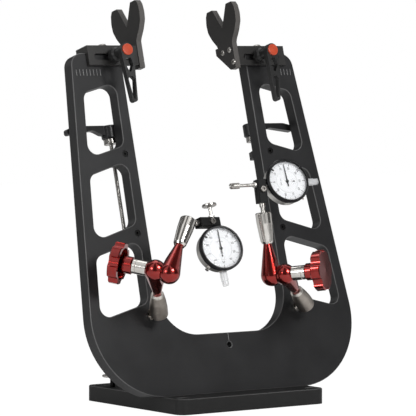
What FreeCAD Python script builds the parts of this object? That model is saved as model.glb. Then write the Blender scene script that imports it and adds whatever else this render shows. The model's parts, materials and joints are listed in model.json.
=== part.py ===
import FreeCAD, Part
import math
import os
from FreeCAD import Placement, Rotation, Vector

# A bicycle wheel truing stand. X runs across the stand, -Y is its front and Z is up. The origin is
# the middle of the base plate's underside. Two slotted brackets with V blades hold the hub, and two
# jointed arms carry dial gauges that read the rim. All sizes are in millimetres and degrees.

SIZES = {
    # base plate
    "base_width": 234.7, "base_depth": 219.6, "base_thick": 20.3, "base_corner": 13.0,
    "bolt_bore": 9.0, "bolt_sink": 14.5, "bolt_sink_depth": 7.0, "bolt_inset": 14.0,
    # tilted U frame
    "frame_lean": 15.4, "frame_setback": 38.5, "frame_lift": 1.6, "frame_thick": 18.0,
    "frame_top": 455.0, "frame_gap": 203.0, "gap_floor": 76.8, "gap_corner": 55.0,
    "foot_half": 219.5, "arm_half_top": 178.7, "foot_corner": 100.0, "arm_corner": 18.0,
    "edge_break": 0.9, "window_corner": 13.0, "hole_column": 118.0,
    "upper_hole": 319.5, "lower_hole": 214.0, "stud_hole": 106.0, "sight_hole": 60.7,
    "sight_bore": 7.5, "mark_pitch": 5.3, "mark_width": 0.9, "mark_long": 8.5, "mark_deep": 0.4,
    "mark_first": 137.0, "mark_height": -26.0, "mark_count": 8,
    # foot bracket behind the frame
    "foot_width": 150.0, "foot_reach": 78.0, "foot_wall": 12.0, "foot_rise": 57.0,
    "foot_rib": 10.0, "foot_screw_gap": 110.0,
    # M5 socket screws
    "screw_shank": 5.0, "screw_head": 8.5, "screw_head_tall": 5.0, "screw_long": 20.0,
    "screw_socket": 4.0, "screw_sink": 9.2, "screw_sink_depth": 6.0,
    # pegs on the base
    "peg_side": 17.35, "peg_back": 39.8, "peg_shank": 7.0, "peg_tall": 13.0,
    "peg_head": 28.0, "peg_head_thick": 2.5,
    # stored quick-release axles and their clips
    "axle_column": 116.0, "axle_back": 13.5, "axle_rod": 5.0, "axle_top": 340.0, "axle_long": 132.0,
    "axle_face": 18.0, "axle_face_tall": 6.0, "axle_hub": 22.0, "axle_hub_tall": 18.0,
    "axle_lever_long": 68.0, "axle_lever_tip": 9.0, "axle_lever_thick": 9.0,
    "clip_width": 28.0, "clip_tall": 10.0, "clip_deep": 17.5, "clip_mouth": 4.4, "clip_play": 0.2,
    # sliding axle brackets (screw heights are above the frame's top)
    "bracket_long": 78.0, "bracket_tall": 27.0, "bracket_leg": 5.0, "bracket_lid": 9.0,
    "bracket_back": 3.2, "slide_play": 0.3, "slot_width": 8.6, "slot_margin": 9.0,
    "left_inset": 77.6, "right_inset": 86.2, "clamp_across": 118.0, "clamp_drop": 6.2,
    "lid_screw_out": 44.5, "lid_head": 12.0, "lid_head_tall": 4.8,
    "low_head": 8.0, "low_head_tall": 3.0, "head_sink": 2.0, "low_shank": 4.0, "low_long": 14.0,
    "lid_screws_up": 5.2, "lid_screw_rear": -17.6, "lid_screw_front": -2.0,
    "leg_screw_up": -12.5, "leg_screw_front": 2.7,
    # V blades (their root, tip and notch are heights above the frame's top)
    "blade_thick": 8.0, "blade_tongue": 4.0, "blade_centre": 9.8, "blade_root": 14.0,
    "blade_tip": 67.5, "notch_floor": 37.5, "notch_half": 16.0, "blade_half": 34.0,
    "neck_half": 16.5, "tongue_long": 22.0, "tongue_half": 14.0, "tongue_play": 0.1,
    "wing_widest": 17.0, "wing_waist": 39.5, "wing_waist_in": 7.5, "plate_front": 6.8,
    "plate_rear": -32.3, "plate_tall": 35.5, "plate_heel": 9.0, "plate_toe": 12.0,
    # clamp levers
    "clamp_stud": 8.0, "clamp_bore": 8.2, "clamp_washer": 13.0, "clamp_barrel": 20.0,
    "clamp_neck": 14.0, "clamp_out": 33.0, "lever_thick": 7.5, "lever_long": 66.0,
    "lever_head": 18.6, "lever_shoulder": 10.0, "lever_waist": 20.0, "lever_bar": 33.25,
    "lever_bar_thick": 1.5, "lever_tip": 7.8, "lever_rim": 2.4, "cap_across": 15.4,
    "cap_tall": 2.6, "left_lever_turn": 0.5, "right_lever_turn": -3.2,
    # jointed gauge arms
    "ball": 12.0, "ball_play": 0.1, "ball_out": 20.0, "stud_neck": 6.0, "stud_barrel": 8.0,
    "stud_hex": 14.0, "stud_hex_tall": 5.0, "stud_thread": 8.0, "stud_thread_long": 13.0,
    "arm_long": 78.0, "eye": 28.0, "eye_gap": 18.6, "eye_play": 0.3, "cone_end": 10.0,
    "cone_long": 43.5, "spigot": 8.0, "spigot_long": 10.0, "sleeve_foot": 16.0,
    "lower_mouth": 23.5, "upper_mouth": 21.4, "sleeve_lip": 5.5, "notch_play": 0.6,
    "collar": 19.0, "collar_seat": 11.0, "hub_start": 30.0, "knob_start": 43.4,
    "knob_thick": 13.5, "knob_hollow": 41.0, "knob_hollow_deep": 9.0, "knob": 53.6,
    "knob_hub": 22.6, "knob_lobes": 6, "knob_scallop": 8.0, "elbow_bolt": 8.0,
    "elbow_bore": 8.2,
    # gauge holders
    "holder_start": 18.0, "holder_long": 31.0, "holder_wide": 12.2, "holder_deep": 15.0,
    "holder_reach": 42.4, "holder_stud_deep": 6.0, "holder_stud": 5.0,
    "pinch_screw": 5.0, "pinch_head": 8.0, "pinch_head_tall": 3.0, "pinch_back": 6.8,
    "holder_slit": 1.4, "stem": 8.0, "stem_bore": 8.12, "stem_long": 46.0, "stem_grip": 36.4,
    # dial gauges
    "case": 55.6, "case_wall": 2.0, "case_back": 9.4, "case_front": 6.2, "bezel": 60.0,
    "bezel_foot": 5.2, "bezel_top": 12.4, "bezel_lip": 1.3, "dial_window": 53.0,
    "bezel_play": 0.3, "dial_floor": 6.5, "dial_thick": 0.8, "centre_face": 30.0,
    "needle_long": 24.0, "needle_tail": 7.0, "needle_height": 8.2, "needle_thick": 0.5,
    "counter_drop": 10.0, "counter_long": 3.6, "counter_height": 7.6, "counter_thick": 0.25,
    "pivot": 1.2, "pivot_foot": 3.0, "spindle": 4.4, "spindle_tail": 20.0, "spindle_play": 0.08,
    "travel": 10.0,
    "left_tip_reach": 61.5, "right_tip_reach": 81.0, "disc_tip": 19.0, "disc_tip_thick": 3.0,
    "rod_tip": 8.0, "rod_tip_long": 14.5, "rod_tip_slot": 2.4, "dust_cap": 9.8,
    "dust_cap_long": 11.5, "dust_cap_end": 8.8, "dust_cap_end_long": 7.2, "dust_cap_wall": 1.1,
    "lock_screw": 5.0, "lock_screw_out": 5.0, "lock_screw_turn": 138.6,
    "tab_inner": 23.4, "tab_width": 3.2, "tab_thick": 0.9,
}

# Where each arm stands: directions in the frame's own axes, across, up the slope and forwards.
# lower runs from the base ball to the elbow, elbow along its bolt, upper to the upper ball, block
# from that ball along the gauge holder, stem along the gauge's stem and face out of its dial.
POSES = {
    "left": {"side": -1, "lower": (-0.439, 0.561, 0.701), "elbow": (0.627, -0.370, 0.685),
             "upper": (0.558, 0.827, -0.064), "block": (0.998, -0.008, -0.069),
             "stem": (0.002, 0.997, -0.082), "face": (-0.178, 0.081, 0.981),
             "tabs": (52.6, -56.2), "needle_turn": -1.3},
    "right": {"side": 1, "lower": (-0.733, 0.418, 0.537), "elbow": (-0.552, 0.102, -0.828),
              "upper": (-0.109, 0.975, 0.193), "block": (0.009, 0.998, 0.061),
              "stem": (-0.983, 0.020, -0.184), "face": (-0.180, 0.130, 0.975),
              "tabs": (-36.3, -140.3), "needle_turn": -88.1},
}

doc = FreeCAD.newDocument("truing_stand")
sheet = doc.addObject("Spreadsheet::Sheet", "sizes")
for row, (alias, amount) in enumerate(SIZES.items(), start=1):
    sheet.set("A%d" % row, alias)
    sheet.set("B%d" % row, str(amount))
    sheet.setAlias("B%d" % row, alias)
doc.recompute()

nodes = []


class Sheet:
    """Reads the spreadsheet, so that every size used below comes from its cells."""

    def __getattr__(self, alias):
        return float(sheet.get(alias))


size = Sheet()


# ---- ways of making a piece -------------------------------------------------------------------

def finish(piece, label, place=None):
    """Names a finished piece as a node, and sets it in its place."""
    piece.Label = label
    piece.Placement = place or Placement()
    nodes.append(piece)
    return piece


def bound(kind, name, place=None, **sizes):
    """A Part primitive whose sizes are expressions of the spreadsheet's cells."""
    piece = doc.addObject("Part::" + kind, name)
    for prop, formula in sizes.items():
        piece.setExpression(prop, formula)
    piece.Placement = place or Placement()
    return piece


def at(across, up=0.0, out=0.0, rotation=None):
    return Placement(Vector(across, up, out), rotation or Rotation())


def fuse(name, pieces):
    piece = doc.addObject("Part::MultiFuse", name)
    piece.Shapes = pieces
    piece.Refine = True
    return piece


def cut(name, base, tools):
    piece = doc.addObject("Part::Cut", name)
    piece.Base = base
    piece.Tool = tools[0] if len(tools) == 1 else fuse(name + "_tools", tools)
    piece.Refine = True
    return piece


def group(name, pieces):
    piece = doc.addObject("Part::Compound", name)
    piece.Links = pieces
    return piece


def rounded(corners):
    """Edges of a closed outline, whose corners are (x, y, radius)."""
    count = len(corners)
    points = [Vector(corner[0], corner[1], 0) for corner in corners]
    ends = []
    for index, (x, y, radius) in enumerate(corners):
        here = points[index]
        back = (points[index - 1] - here).normalize()
        ahead = (points[(index + 1) % count] - here).normalize()
        half = back.getAngle(ahead) / 2
        if radius <= 0 or half > math.pi / 2 - 1e-6:
            ends.append((here, None, here))
            continue
        trim = radius / math.tan(half)
        middle = (back + ahead).normalize()
        centre = here + middle * (radius / math.sin(half))
        ends.append((here + back * trim, centre - middle * radius, here + ahead * trim))
    edges = []
    for index, (start, peak, end) in enumerate(ends):
        if peak is not None:
            edges.append(Part.Arc(start, peak, end))
        following = ends[(index + 1) % count][0]
        if (following - end).Length > 1e-6:
            edges.append(Part.LineSegment(end, following))
    return edges


def circle(x, y, diameter):
    return [Part.Circle(Vector(x, y, 0), Vector(0, 0, 1), diameter / 2)]


def drawn(body, role, outlines, lift=0.0):
    """A sketch on one of the body's own planes, raised by lift."""
    sketch = body.newObject("Sketcher::SketchObject", body.Name + "_sketch")
    support = next(item for item in body.Origin.OriginFeatures if item.Role == role)
    sketch.AttachmentSupport = [(support, "")]
    sketch.MapMode = "FlatFace"
    sketch.AttachmentOffset = Placement(Vector(0, 0, lift), Rotation())
    for outline in outlines:
        sketch.addGeometry(outline, False)
    return sketch


def padded(name, outlines, length, role="XY_Plane", lift=0.0, down=False, both=False):
    """A body padded from a sketch, its length an expression of the cells."""
    body = doc.addObject("PartDesign::Body", name)
    pad = body.newObject("PartDesign::Pad", name + "_pad")
    pad.Profile = drawn(body, role, outlines, lift)
    pad.setExpression("Length", length)
    pad.Reversed = down
    pad.Midplane = both
    body.Tip = pad
    return body


def pocket(body, outlines, depth, lift=0.0, role="XY_Plane", up=False):
    """Cuts a pocket into the body from a plane raised by lift."""
    cutter = body.newObject("PartDesign::Pocket", body.Name + "_pocket")
    cutter.Profile = drawn(body, role, outlines, lift)
    cutter.setExpression("Length", depth)
    cutter.Reversed = up
    body.Tip = cutter
    return body


def turned(name, profile):
    """A body turned about its Z axis. The profile is points (radius, height), and a point with
    four numbers is an arc through its first pair to its second."""
    points = [Vector(point[-2], point[-1], 0) for point in profile]
    edges = []
    for index, point in enumerate(profile):
        start, end = points[index - 1], points[index]
        if len(point) == 4:
            edges.append(Part.Arc(start, Vector(point[0], point[1], 0), end))
        elif (end - start).Length > 1e-6:
            edges.append(Part.LineSegment(start, end))
    body = doc.addObject("PartDesign::Body", name)
    sketch = drawn(body, "XZ_Plane", [edges])
    turn = body.newObject("PartDesign::Revolution", name + "_turn")
    turn.Profile = sketch
    turn.ReferenceAxis = (sketch, ["V_Axis"])
    turn.Angle = 360.0
    body.Tip = turn
    return body


def broken_edges(body, height, amount):
    """Chamfers every edge of the body that lies flat at the given height."""
    doc.recompute()
    base = body.Tip
    names = ["Edge%d" % (index + 1) for index, edge in enumerate(base.Shape.Edges)
             if all(abs(point.z - height) < 1e-4 for point in edge.discretize(3))]
    chamfer = body.newObject("PartDesign::Chamfer", body.Name + "_chamfer")
    chamfer.Base = (base, names)
    chamfer.setExpression("Size", amount)
    body.Tip = chamfer
    return body


# ---- frames of reference ----------------------------------------------------------------------

# The frame's own axes: across, up the slope of its front face, and forwards out of it.
frame_foot = Vector(0, size.frame_setback - size.base_depth / 2, size.base_thick + size.frame_lift)
stand = Placement(frame_foot, Rotation(Vector(1, 0, 0), 90 - size.frame_lean))
SPIN_FORWARD = Rotation(Vector(0, 1, 0), 90)


def aimed(origin, z_axis, x_axis):
    """A placement in the frame's axes with Z along z_axis and X as near x_axis as it can be."""
    z_axis = Vector(*z_axis).normalize()
    x_axis = Vector(*x_axis)
    x_axis = (x_axis - z_axis * x_axis.dot(z_axis)).normalize()
    y_axis = z_axis.cross(x_axis)
    return stand * Placement(Vector(*origin), Rotation(x_axis, y_axis, z_axis, "ZXY"))


# ---- fasteners --------------------------------------------------------------------------------

def socket_screw(name, place):
    """An M5 socket screw whose head sits on the plane Z = 0, with its shank below."""
    shank = bound("Cylinder", name + "_shank", at(0, 0, -size.screw_long),
                  Radius="sizes.screw_shank / 2", Height="sizes.screw_long")
    head = bound("Cylinder", name + "_head", Radius="sizes.screw_head / 2",
                 Height="sizes.screw_head_tall")
    socket = bound("Prism", name + "_socket", at(0, 0, size.screw_head_tall / 2),
                   Circumradius="sizes.screw_socket / 2 / cos(30)",
                   Height="sizes.screw_head_tall")
    socket.Polygon = 6
    screw = cut(name, fuse(name + "_blank", [shank, head]), [socket])
    screw.Placement = place
    return screw


# ---- base and frame ---------------------------------------------------------------------------

def base_plate():
    """The flat base, with a counterbored bolt hole at each corner for fixing it to a bench."""
    half_x, half_y, corner = size.base_width / 2, size.base_depth / 2, size.base_corner
    outline = rounded([(half_x, half_y, corner), (-half_x, half_y, corner),
                       (-half_x, -half_y, corner), (half_x, -half_y, corner)])
    bolts = [(sx * (half_x - size.bolt_inset), sy * (half_y - size.bolt_inset))
             for sx in (-1, 1) for sy in (-1, 1)]
    bores = [circle(x, y, size.bolt_bore) for x, y in bolts]
    body = padded("base", [outline] + bores, "sizes.base_thick")
    sinks = [circle(x, y, size.bolt_sink) for x, y in bolts]
    pocket(body, sinks, "sizes.bolt_sink_depth", lift=size.base_thick)
    broken_edges(body, size.base_thick, "sizes.edge_break")
    taps = [drill("base_tap_%d" % index, size.screw_shank, size.screw_long, place)
            for index, place in enumerate(foot_screw_places()[:4])]
    pegs = [drill("base_peg_hole_%d" % side, size.peg_shank, size.peg_tall,
                  peg_place(side) * at(0, 0, 3)) for side in (-1, 1)]
    finish(cut("base_bored", body, taps + pegs), "base_plate")


def peg_place(side):
    """Where a peg stands on the base, set in from the base's side and back edges."""
    return at(side * (size.base_width / 2 - size.peg_side), size.base_depth / 2 - size.peg_back,
              size.base_thick)


def drill(name, diameter, depth, place):
    """A cylinder that cuts down from the plane Z = 0 of its place."""
    tool = doc.addObject("Part::Cylinder", name)
    tool.Radius = diameter / 2
    tool.Height = depth
    tool.Placement = place * at(0, 0, -depth)
    return tool


def window(top, bottom, wall_out):
    """One window of an arm: top and bottom are (outer height, inner height) of its sloped rims."""
    inner = size.frame_gap / 2 + 14.5
    outer_top, inner_top = top
    outer_bottom, inner_bottom = bottom
    reach_top = arm_edge(outer_top) - wall_out
    reach_bottom = arm_edge(outer_bottom) - wall_out
    return [(reach_top, outer_top), (inner, inner_top), (inner + 1.5, inner_bottom),
            (reach_bottom, outer_bottom)]


def above_top(height):
    """A place up the slope that follows the frame's top (below it where negative)."""
    return size.frame_top + height


def arm_edge(height):
    """How far out the arm's tapered outer edge lies at a height up the slope."""
    return size.foot_half + (size.arm_half_top - size.foot_half) * height / size.frame_top


WINDOWS = [((402.0, 415.5), (315.3, 331.0)), ((291.6, 310.1), (205.7, 225.9)),
           ((184.5, 204.9), (102.2, 122.2))]
WINDOW_WALL = 15.8


def frame_plate():
    """The tilted U cut from one thick plate: six windows, scale marks, a sight hole and bores."""
    gap, low = size.frame_gap / 2, -size.frame_lift / math.cos(math.radians(size.frame_lean))
    foot_out = arm_edge(low)
    right = [(gap, size.gap_floor, size.gap_corner), (gap, size.frame_top, 3.0),
             (size.arm_half_top, size.frame_top, size.arm_corner),
             (foot_out, low, size.foot_corner)]
    left = [(-x, y, r) for x, y, r in reversed(right)]
    outlines = [rounded(right + left)]
    for top, bottom in WINDOWS:
        corners = window(top, bottom, WINDOW_WALL)
        for side in (-1, 1):
            outlines.append(rounded([(side * x, y, size.window_corner) for x, y in corners]))
    outlines.append(circle(0, size.sight_hole, size.sight_bore))
    body = padded("frame", outlines, "sizes.frame_thick", down=True)
    broken_edges(body, 0.0, "sizes.edge_break")
    marks = []
    for side in (-1, 1):
        for index in range(int(size.mark_count)):
            middle = side * (size.mark_first + index * size.mark_pitch)
            marks.append(strip(middle, above_top(size.mark_height), size.mark_width, size.mark_long))
    sight = size.sight_hole + size.sight_bore / 2 + 1.5
    marks.append(strip(0, (sight + size.gap_floor) / 2, size.mark_width,
                       size.gap_floor - sight + 2 * size.edge_break))
    pocket(body, marks, "sizes.mark_deep")
    tools = []
    for side in (-1, 1):
        for height in (size.upper_hole, size.lower_hole):
            place = at(side * size.hole_column, height)
            tools.append(drill("sink_%d_%d" % (side, height), size.screw_sink,
                               size.screw_sink_depth, place))
            tools.append(drill("bore_%d_%d" % (side, height), size.screw_shank,
                               size.frame_thick, place))
        tools.append(drill("stud_bore_%d" % side, size.stud_thread, size.stud_thread_long + 1,
                           at(side * size.hole_column, size.stud_hole)))
        tools.append(drill("clamp_bore_%d" % side, size.clamp_bore, size.frame_thick,
                           at(side * size.clamp_across, size.frame_top - size.clamp_drop)))
    for index, place in enumerate(foot_screw_places()[4:]):
        tools.append(drill("frame_tap_%d" % index, size.screw_shank, size.screw_long,
                           stand.inverse() * place))
    under = doc.addObject("Part::Box", "under_frame")
    under.Length, under.Width, under.Height = 2 * size.foot_half, size.base_depth, size.base_thick
    under.Placement = stand.inverse() * at(-size.foot_half, -size.base_depth / 2, 0)
    finish(cut("frame_cut", body, tools + [under]), "frame_plate", stand)


def strip(x, y, width, long):
    half_x, half_y = width / 2, long / 2
    return rounded([(x + half_x, y + half_y, 0), (x - half_x, y + half_y, 0),
                    (x - half_x, y - half_y, 0), (x + half_x, y - half_y, 0)])


def foot_corner_line():
    """Where the frame's rear face meets the base: its height up the slope, and its depth in Y."""
    lean = math.radians(size.frame_lean)
    rise = (size.frame_thick * math.sin(lean) - size.frame_lift) / math.cos(lean)
    return rise, (stand * Vector(0, rise, -size.frame_thick)).y


def foot_screw_places():
    """Four screws down through the foot into the base, then four through it into the frame."""
    rise, depth = foot_corner_line()
    places = []
    for side in (-1, 1):
        for back in (0.45, 0.85):
            places.append(Placement(Vector(side * size.foot_screw_gap / 2,
                                           depth + size.foot_reach * back,
                                           size.base_thick + size.foot_wall), Rotation()))
    for side in (-1, 1):
        for up in (0.5, 0.82):
            place = at(side * size.foot_screw_gap / 2, rise + size.foot_rise * up,
                       -size.frame_thick - size.foot_wall, Rotation(Vector(1, 0, 0), 180))
            places.append(stand * place)
    return places


def foot_bracket():
    """The angle behind the frame that bolts it to the base at its lean, with two ribs."""
    rise, depth = foot_corner_line()
    ground, wall = size.base_thick, size.foot_wall
    heel = Vector(0, depth, ground)
    up = (stand.Rotation * Vector(0, 1, 0)).normalize()
    back = (stand.Rotation * Vector(0, 0, -1)).normalize()
    top = heel + up * size.foot_rise
    top_back = top + back * wall
    inner_y = top_back.y - up.y * (top_back.z - ground - wall) / up.z
    toe = depth + size.foot_reach
    section = [(heel.y, heel.z), (toe, ground), (toe, ground + wall), (inner_y, ground + wall),
               (top_back.y, top_back.z), (top.y, top.z)]
    angle = padded("foot_angle", [rounded([(y, z, 0) for y, z in section])],
                   "sizes.foot_width", role="YZ_Plane", both=True)
    rib_section = [(inner_y - 1, ground + wall - 1), (toe - 8, ground + wall - 1),
                   (top_back.y + 1, top_back.z - 6), (top_back.y - 1, top_back.z - 6)]
    ribs = []
    for side in (-1, 0, 1):
        rib = padded("foot_rib_%d" % (side + 1), [rounded([(y, z, 0) for y, z in rib_section])],
                     "sizes.foot_rib", role="YZ_Plane", both=True)
        rib.Placement = at(side * (size.foot_width - size.foot_rib) / 2)
        ribs.append(rib)
    holes = [drill("foot_hole_%d" % index, size.screw_shank, size.screw_long, place)
             for index, place in enumerate(foot_screw_places())]
    finish(cut("foot_drilled", fuse("foot_blank", [angle] + ribs), holes), "foot_bracket")


def socket_screws():
    """Twelve M5 socket screws: four hold the clips, eight hold the foot."""
    places = foot_screw_places()
    for side in (-1, 1):
        for height in (size.upper_hole, size.lower_hole):
            places.append(stand * at(side * size.hole_column, height, -size.screw_sink_depth))
    screws = [socket_screw("screw_%d" % index, place) for index, place in enumerate(places)]
    finish(group("all_screws", screws), "socket_screws")


def storage_posts():
    """Two pegs with wide thin heads, pressed into the back of the base."""
    pegs = []
    for side in (-1, 1):
        profile = [(0, -10.0), (size.peg_shank / 2, -10.0), (size.peg_shank / 2, size.peg_tall),
                   (size.peg_head / 2 - 0.6, size.peg_tall), (size.peg_head / 2, size.peg_tall + 0.6),
                   (size.peg_head / 2, size.peg_tall + size.peg_head_thick - 0.6),
                   (size.peg_head / 2 - 0.6, size.peg_tall + size.peg_head_thick),
                   (0, size.peg_tall + size.peg_head_thick)]
        peg = turned("peg_%d" % (side + 1), profile)
        peg.Placement = peg_place(side)
        pegs.append(peg)
    finish(group("pegs", pegs), "storage_posts")


# ---- stored axles -----------------------------------------------------------------------------

def axle_line(side):
    """The middle of a stored axle's rod, in the frame's axes."""
    return side * size.axle_column, -size.frame_thick - size.axle_back


def skewer_clips():
    """Four plastic spring clips screwed behind the arms, open to the back."""
    clips = []
    for side in (-1, 1):
        across, back = axle_line(side)
        for height in (size.upper_hole, size.lower_hole):
            half = size.clip_width / 2
            left, right = side * size.hole_column - half, side * size.hole_column + half
            floor = -size.frame_thick
            deep = floor - size.clip_deep
            name = "clip_%d_%d" % (side + 1, height)
            outline = rounded([(right, floor, 0), (left, floor, 0), (left, floor - 5, 2),
                               (across - 8, deep, 3), (across + 8, deep, 3), (right, floor - 5, 2)])
            block = padded(name + "_block", [outline], "sizes.clip_tall", both=True)
            block.Placement = at(0, height, 0, Rotation(Vector(1, 0, 0), 90)) 
            bore = bound("Cylinder", name + "_bore",
                         at(across, height + size.clip_tall, back, Rotation(Vector(1, 0, 0), 90)),
                         Radius="sizes.axle_rod / 2 + sizes.clip_play",
                         Height="2 * sizes.clip_tall")
            mouth = doc.addObject("Part::Box", name + "_mouth")
            mouth.Length, mouth.Width, mouth.Height = size.clip_mouth, 2 * size.clip_tall, 12
            mouth.Placement = at(across - size.clip_mouth / 2, height - size.clip_tall, back - 12)
            tap = drill(name + "_tap", size.screw_shank, size.screw_long,
                        at(side * size.hole_column, height, -size.screw_sink_depth))
            clips.append(cut(name, block, [bore, mouth, tap]))
    finish(group("clips", clips), "skewer_clips", stand)


def axle_frame(side):
    """Z runs up the rod and X points out to the lever's side."""
    across, back = axle_line(side)
    return aimed((across, size.axle_top, back), (0, 1, 0), (side, 0, 0))


def stored_axle(name, side):
    """A quick-release axle: steel rod with a serrated face, and a cam lever that turns on it."""
    place = axle_frame(side)
    rod, face = size.axle_rod / 2, size.axle_face / 2
    profile = [(0, -size.axle_long), (rod - 0.5, -size.axle_long), (rod, 0.5 - size.axle_long),
               (rod, 0), (face, 0), (face, size.axle_face_tall), (rod, size.axle_face_tall),
               (rod, size.axle_face_tall + size.axle_hub_tall - 4),
               (0, size.axle_face_tall + size.axle_hub_tall - 4)]
    teeth = []
    for index in range(24):
        tooth = doc.addObject("Part::Box", "%s_tooth_%d" % (name, index))
        tooth.Length, tooth.Width, tooth.Height = 3.0, 0.9, 2.4
        turn = Rotation(Vector(0, 0, 1), index * 15.0)
        tooth.Placement = Placement(Vector(), turn) * at(face - 1.2, -0.45, -0.6)
        teeth.append(tooth)
    finish(cut(name + "_rod_cut", turned(name + "_rod_turned", profile), teeth),
           name + "_axle_rod", place)
    hub, foot = size.axle_hub / 2, size.axle_face_tall + 0.3
    barrel = turned(name + "_lever_hub",
                    [(rod + 0.1, foot), (hub - 2, foot), (hub, foot + 2),
                     (hub, foot + size.axle_hub_tall - 1), (hub - 1, foot + size.axle_hub_tall),
                     (0, foot + size.axle_hub_tall), (0, foot + size.axle_hub_tall - 4),
                     (rod + 0.1, foot + size.axle_hub_tall - 4)])
    top = foot + size.axle_hub_tall
    tip = size.axle_lever_long
    blade = rounded([(0, top, 0), (0, foot + 4, 0), (hub + 4, foot + 6, 8),
                     (hub + 16, top - 6.0, 14), (tip, top - size.axle_lever_tip - 3, 3),
                     (tip, top - 4, 3), (tip - 16, top, 20)])
    arm = padded(name + "_lever_arm", [blade], "sizes.axle_lever_thick", role="XZ_Plane", both=True)
    bore = bound("Cylinder", name + "_lever_bore", Radius="sizes.axle_rod / 2 + 0.1",
                 Height="sizes.axle_face_tall + 0.3 + sizes.axle_hub_tall - 4")
    finish(cut(name + "_lever_cut", fuse(name + "_lever_blank", [barrel, arm]), [bore]),
           name + "_axle_lever", place)


# ---- sliding brackets and blades --------------------------------------------------------------

def bracket_ends(side):
    """The bracket's inboard and outboard ends, as distances across the frame."""
    inset = size.left_inset if side < 0 else size.right_inset
    return side * inset, side * (inset + size.bracket_long)


def axle_bracket(name, side):
    """A saddle over the arm's top, with a clamp slot in front and a guide slot in its lid."""
    inner, outer = bracket_ends(side)
    low, high = min(inner, outer), max(inner, outer)
    play = size.slide_play
    front, back = play, -size.frame_thick - play
    ceiling = size.frame_top + play
    floor = ceiling + size.bracket_lid - size.bracket_tall
    section = rounded([(floor, front, 0), (floor, front + size.bracket_leg, 0.8),
                       (ceiling + size.bracket_lid, front + size.bracket_leg, 0.8),
                       (ceiling + size.bracket_lid, back - size.bracket_back, 0.8),
                       (floor + 8, back - size.bracket_back, 0), (floor + 8, back, 0),
                       (ceiling, back, 0), (ceiling, front, 0)])
    saddle = padded(name + "_saddle", [section], "sizes.bracket_long", role="YZ_Plane", lift=low)
    stud_height = size.frame_top - size.clamp_drop
    slot = slot_tool(name + "_slot", low, high, stud_height, size.slot_width, front - 2,
                     size.bracket_leg + 4)
    taps = [drill("%s_tap_%d" % (name, index), size.low_shank, size.low_long, place)
            for index, place in enumerate(blade_screw_places(side))]
    lid = drill(name + "_lid_tap", size.screw_shank, size.bracket_lid, lid_screw_place(side))
    finish(cut(name + "_bracket_cut", saddle, [slot, lid] + taps), name + "_axle_bracket", stand)


def lid_screw_place(side):
    """The screw that comes down through the saddle's lid and takes up its play."""
    inner, outer = bracket_ends(side)
    return at(inner + side * size.lid_screw_out,
              size.frame_top + size.slide_play + size.bracket_lid, -size.frame_thick / 2,
              Rotation(Vector(1, 0, 0), -90))


def slot_tool(name, low, high, height, width, start, deep):
    """A straight slot that stops short of both of the bracket's ends."""
    half, margin = width / 2, size.slot_margin
    outline = rounded([(high - margin, height + half, half - 0.01),
                       (low + margin, height + half, half - 0.01),
                       (low + margin, height - half, half - 0.01),
                       (high - margin, height - half, half - 0.01)])
    tool = doc.addObject("PartDesign::Body", name)
    pad = tool.newObject("PartDesign::Pad", name + "_pad")
    pad.Profile = drawn(tool, "XY_Plane", [outline], start)
    pad.Length = deep
    tool.Tip = pad
    return tool


def blade_screw_places(side):
    """Three screws through the blade's foot into the bracket's end, heads towards the wheel."""
    inner, outer = bracket_ends(side)
    seat = inner - side * (size.blade_thick - size.head_sink)
    turn = Rotation(Vector(0, 1, 0), -90 * side)
    spots = [(size.lid_screws_up, size.lid_screw_rear), (size.lid_screws_up, size.lid_screw_front),
             (size.leg_screw_up, size.leg_screw_front)]
    return [at(seat, above_top(height), out, turn) for height, out in spots]


def blade_frame(side):
    """The blade's drawing plane: X forwards, Y up the slope, its Z = 0 on the outer side of the
    left blade and on the wheel side of the right one, so that both draw towards -X."""
    inner, outer = bracket_ends(side)
    turn = Rotation(Vector(0, 0, 1), Vector(0, 1, 0), Vector(-1, 0, 0), "ZXY")
    return Placement(Vector(inner if side > 0 else inner + size.blade_thick, 0, 0), turn)


def tongue_lift(side):
    """The tongue lies against the bracket, in the outer half of the blade's thickness."""
    return 0.0 if side > 0 else size.blade_thick - size.blade_tongue


def tongue_outline(play):
    middle, half, root = -size.blade_centre, size.tongue_half + play, above_top(size.blade_root)
    return rounded([(middle - half, root + 0.5, 0),
                    (middle - half, root - size.tongue_long - play, 3),
                    (middle + half, root - size.tongue_long - play, 3),
                    (middle + half, root + 0.5, 0)])


def blade_drills(name, side):
    """The blade's three screw holes, in its drawing plane."""
    return [drill("%s_%d" % (name, index), size.low_shank, size.low_long,
                  blade_frame(side).inverse() * place)
            for index, place in enumerate(blade_screw_places(side))]


def v_blade(name, side):
    """The heart-shaped blade whose notch holds the hub's axle, with a tongue in its foot."""
    middle, half, neck = -size.blade_centre, size.blade_half, size.neck_half
    root, tip = above_top(size.blade_root), above_top(size.blade_tip)
    wing = [(size.notch_half, tip, 1.5), (half - 5.5, tip, 2.0), (half - 1.8, tip - 6.0, 4.0),
            (half, tip - size.wing_widest, 20.0), (half - 1.2, tip - size.wing_widest - 11.0, 14.0),
            (half - size.wing_waist_in, tip - size.wing_waist, 30.0),
            (neck + 2.0, root + 4.0, 6.0), (neck, root, 0)]
    front = [(middle + x, y, r) for x, y, r in wing]
    rear = [(middle - x, y, r) for x, y, r in reversed(wing)]
    outline = rounded([(middle, above_top(size.notch_floor), 1.0)] + front + rear)
    blade = padded(name + "_blade_blank", [outline], "sizes.blade_thick")
    tongue = padded(name + "_tongue", [tongue_outline(0.0)], "sizes.blade_tongue",
                    lift=tongue_lift(side))
    blank = fuse(name + "_blade_fused", [blade, tongue])
    finish(cut(name + "_blade_cut", blank, blade_drills(name + "_blade_hole", side)),
           name + "_v_blade", stand * blade_frame(side))


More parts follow.
